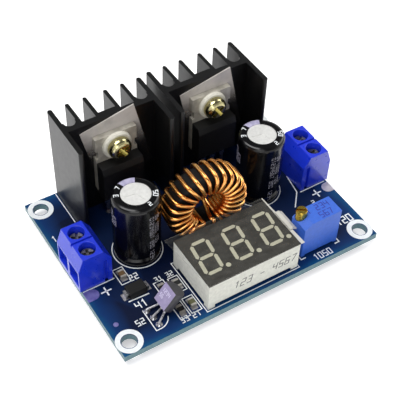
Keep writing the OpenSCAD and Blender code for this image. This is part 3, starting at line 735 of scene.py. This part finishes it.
# Text, lower left corner and height
BOARD_LABELS = (
    ("22", (-21.7, -7.5), 1.5),
    ("41", (-24.0, -14.7), 1.8),
    ("52", (-26.1, -18.4), 1.4),
    ("31", (-17.3, -10.5), 1.2),
    ("32", (-14.6, -10.5), 1.2),
    ("21", (-15.1, -22.4), 1.3),
    ("33", (-17.9, -22.3), 1.3),
    ("1050", (15.8, -22.9), 1.5),
    ("120", (26.1, -17.5), 1.9),
    ("1", (-31.0, 10.4), 1.6),
    ("2", (25.0, -9.4), 1.2),
)


def board_print():
    """Silkscreen: hole rings, part outlines, signs of the poles and plain numbers."""
    piece = new_piece("silkscreen", ink)
    mesh = bmesh.new()
    put = flat((board_middle.x, board_middle.y, board_top), (1, 0, 0), (0, 1, 0))

    def draw(points, width=LINE, closed=False):
        stroke(mesh, put, points, width, closed)

    holes = [mount for mount in frame["record"]["mounts"] if mount["name"] == "mounting_holes"][0]["dims"]
    ring_radius, ring_width = HOLE_RING
    for x in (-1, 1):
        for y in (-1, 1):
            middle = (x * holes["spacing_x_mm"] / 2, y * holes["spacing_y_mm"] / 2)
            draw(circle(middle, ring_radius), ring_width, True)
    for side in ("left", "right"):
        low, high = (v / MM for v in node_box(f"capacitor_{side}_sleeve"))
        draw(circle((low + high) / 2, (high.x - low.x) / 2 + OUTLINE_GAP), CURVED_LINE, True)
    low, high = (v / MM for v in node_box("display_shell"))
    width, depth = high.x - low.x + 2 * OUTLINE_GAP, high.y - low.y + 2 * OUTLINE_GAP
    draw(frame_of((low + high) / 2, width, depth), LINE, True)
    trimmer_corners(draw)
    for node, width, depth in CHIP_BOXES:
        draw(frame_of(node_middle(node) / MM, width, depth), LINE, True)
    draw_transistor_outline(draw)
    for points, width in BOARD_LINES:
        draw(points, width)
    for x, y in ((-27.45, -7.2), (27.7, -6.8)):
        draw([(x - 1.2, y), (x + 1.2, y)], SIGN)
        draw([(x, y - 1.2), (x, y + 1.2)], SIGN)
    for x, y in ((-29.6, 6.9), (29.2, 7.6)):
        draw([(x - 1.0, y), (x + 1.0, y)], SIGN)
    for text, place, height in BOARD_LABELS:
        write(mesh, put, text, place, height, height * LABEL_WEIGHT)
    settle(piece, mesh)


def draw_transistor_outline(draw):
    """A straight side and part of a round one, as the small transistor has from above."""
    straight = [(-23.4, -15.4), (-23.4, -21.2), (-22.2, -21.2)]
    draw(straight + arc((-22.4, -18.2), 3.0, -75, -20, 8), CURVED_LINE)


def trimmer_corners(draw):
    """The trimmer's outline, drawn only at its corners."""
    low, high = (v / MM for v in node_box("trimmer_body"))
    left, right, front, back = low.x - 0.4, high.x + 0.4, low.y - 0.6, high.y + 0.4
    for x, inward in ((left, 1), (right, -1)):
        for y, onward in ((front, 1), (back, -1)):
            draw([(x, y + 1.1 * onward), (x, y), (x + 1.2 * inward, y)], BOLD)


def marks(name, put, rows, width, colour, lean=0.0):
    """A piece with rows of plain figures: rows are (text, place, height)."""
    piece = new_piece(name, plastic_look(name, colour, (0.4, 0.55), spread=0.1))
    mesh = bmesh.new()
    for text, place, height in rows:
        write(mesh, put, text, place, height, width, lean)
    settle(piece, mesh)


CASE_LEAN = 38.5        # the small transistor's lean from upright, in degrees
CASE_TALL = 4.5
CASE_MARKS = (("1234", (-1.35, 2.7), 0.8), ("56", (-1.35, 1.4), 0.8))
DISPLAY_MARKS = (("123 - 4567", (-5.2, 3.0), 2.0),)
TRIMMER_MARKS = (("1 234", (2.6, -2.1), 1.5), ("567", (4.6, -4.3), 1.5))
SLEEVE_MARKS = (("01234567 890", (-14.4, -0.2), 1.0), ("35 1000 105", (-14.4, 1.3), 1.0),
                ("1234", (-4.2, -0.2), 1.0))
SLEEVE_BACK_MARKS = (("012345", (-14.6, 0), 0.9), ("6789", (-13.4, 1.2), 0.9))
SHOULDER_MARKS = ((-18, "50"), (-70, "2"), (-196, "3"), (-228, "7"))    # angle in degrees, text


def display_marks():
    low, high = node_box("display_shell")
    put = flat(((low.x + high.x) / 2, low.y, low.z), (1, 0, 0), (0, 0, 1))
    marks("display_number", put, DISPLAY_MARKS, 0.2, tone(88, 88, 88), 0.2)


def trimmer_marks():
    low, high = node_box("trimmer_body")
    put = flat((low.x, high.y, high.z), (1, 0, 0), (0, 1, 0))
    marks("trimmer_number", put, TRIMMER_MARKS, 0.2, tone(38, 48, 150))


def transistor_marks():
    """On the flat face, which leans back."""
    low, high = node_box("transistor_body")
    lean = math.radians(CASE_LEAN)
    foot = (low.x, (low.y + high.y) / 2, high.z - CASE_TALL * MM * math.cos(lean))
    put = flat(foot, (0, -1, 0), (math.sin(lean), 0, math.cos(lean)))
    marks("transistor_number", put, CASE_MARKS, 0.12, tone(206, 200, 226))


def capacitor_marks(side, turn):
    """Rows down a sleeve's front, which start at an angle, and its back, and figures on its shoulder."""
    low, high = node_box(f"capacitor_{side}_sleeve")
    radius = (high.x - low.x) / 2 / MM
    axis = (low + high) / 2
    put = wrapped(axis, radius, low.z, turn)
    marks(f"capacitor_{side}_rows", put, SLEEVE_MARKS, 0.13, tone(150, 148, 158))
    put = wrapped(axis, radius, low.z, turn - 112)
    marks(f"capacitor_{side}_back_rows", put, SLEEVE_BACK_MARKS, 0.12, tone(150, 148, 168))
    piece = new_piece(f"capacitor_{side}_shoulder_marks", ink)
    mesh = bmesh.new()
    for angle, text in SHOULDER_MARKS:
        write(mesh, around(axis, 3.5, high.z, angle), text, (0, 0.12), 0.95, 0.17)
    settle(piece, mesh)


winding()
board_print()
display_marks()
trimmer_marks()
transistor_marks()
capacitor_marks("left", -84)
capacitor_marks("right", -94)

# ---------- light, floor and camera ----------

DIFFUSE_SKY = 0.4       # how bright the sky is as a light
GLOSS_SKY = (0.3, 0.62)     # rise of a ray, between which the sky in reflections dims
GLOSS_OVERHEAD = 0.14


def background():
    """White where it is seen, and for gloss white near the horizon and dimmer overhead."""
    world = bpy.data.worlds.new("studio")
    scene.world = world
    world.use_nodes = True
    nodes, links = world.node_tree.nodes, world.node_tree.links
    shade = nodes["Background"]
    shade.inputs["Color"].default_value = (1, 1, 1, 1)
    path = nodes.new("ShaderNodeLightPath")
    way = nodes.new("ShaderNodeSeparateXYZ")
    links.new(nodes.new("ShaderNodeTexCoord").outputs["Generated"], way.inputs[0])
    overhead = nodes.new("ShaderNodeMapRange")
    for socket, value in (("From Min", GLOSS_SKY[0]), ("From Max", GLOSS_SKY[1]), ("To Min", 1.0),
                          ("To Max", GLOSS_OVERHEAD)):
        overhead.inputs[socket].default_value = value
    links.new(way.outputs["Z"], overhead.inputs["Value"])

    def choose(test, yes, no):
        """yes where test is 1, no where it is 0; numbers or sockets."""
        node = nodes.new("ShaderNodeMix")
        links.new(test, node.inputs["Factor"])
        for socket, value in ((node.inputs["A"], no), (node.inputs["B"], yes)):
            if isinstance(value, float):
                socket.default_value = value
            else:
                links.new(value, socket)
        return node.outputs["Result"]

    gloss = choose(path.outputs["Is Glossy Ray"], overhead.outputs[0], DIFFUSE_SKY)
    seen_through = choose(path.outputs["Is Transmission Ray"], 1.0, gloss)
    links.new(choose(path.outputs["Is Camera Ray"], 1.0, seen_through), shade.inputs["Strength"])


def floor():
    """Pale floor that looks white and keeps the shadow."""
    mesh = bpy.data.meshes.new("floor")
    corners = [(x, y, 0) for x, y in frame_of((0, 0), 4, 4)]
    mesh.from_pydata(corners, [], [(0, 1, 2, 3)])
    ground = bpy.data.objects.new("floor", mesh)
    scene.collection.objects.link(ground)
    look = Look("floor", (0.86, 0.86, 0.86, 1), rough=0.9)
    look.set("Specular IOR Level", 0.1)
    path = look.add("ShaderNodeLightPath")
    glow = look.math("MAXIMUM", path.outputs["Is Camera Ray"], path.outputs["Is Glossy Ray"])
    look.set("Emission Color", (1, 1, 1, 1))
    look.link(look.math("MULTIPLY", glow, 0.45), look.shader.inputs["Emission Strength"])
    mesh.materials.append(look.material)


def softbox(name, place, side, watts):
    """A square soft light, aimed at the module."""
    data = bpy.data.lights.new(name, "AREA")
    data.shape = "RECTANGLE"
    data.size = data.size_y = side
    data.energy = watts
    lamp = bpy.data.objects.new(name, data)
    scene.collection.objects.link(lamp)
    lamp.location = place
    lamp.rotation_euler = (Vector((0, 0, 0.01)) - Vector(place)).to_track_quat("-Z", "Y").to_euler()


CAMERA_TURN = (-33.6, 47.24, 2.44)      # azimuth, elevation and roll, in degrees
CAMERA_DISTANCE = 211.16
CAMERA_AIM = (0.08, 4.37)               # right of and above the board's middle, as seen
CAMERA_LENS = 84.58


def camera():
    azimuth, elevation, roll = (math.radians(a) for a in CAMERA_TURN)
    back = Vector((math.sin(azimuth) * math.cos(elevation), -math.cos(azimuth) * math.cos(elevation),
                   math.sin(elevation)))
    level = Vector((math.cos(azimuth), math.sin(azimuth), 0))
    rise = back.cross(level)
    right = level * math.cos(roll) + rise * math.sin(roll)
    up = rise * math.cos(roll) - level * math.sin(roll)
    middle = Vector((board_middle.x, board_middle.y, board_top))
    aim = middle + (right * CAMERA_AIM[0] + up * CAMERA_AIM[1]) * MM
    data = bpy.data.cameras.new("camera")
    data.lens = CAMERA_LENS
    data.sensor_width = 36
    data.clip_start = 0.01
    view = bpy.data.objects.new("camera", data)
    scene.collection.objects.link(view)
    turn = Matrix((right, up, back)).transposed().to_4x4()
    view.matrix_world = Matrix.Translation(aim + back * CAMERA_DISTANCE * MM) @ turn
    scene.camera = view


background()
floor()
softbox("key", (-0.15, 0.10, 0.55), 0.35, 2.2)
softbox("fill", (-0.35, -0.45, 0.35), 0.4, 1.3)
softbox("rim", (0.45, 0.05, 0.35), 0.3, 0.9)
camera()
scene.view_settings.view_transform = "Standard"
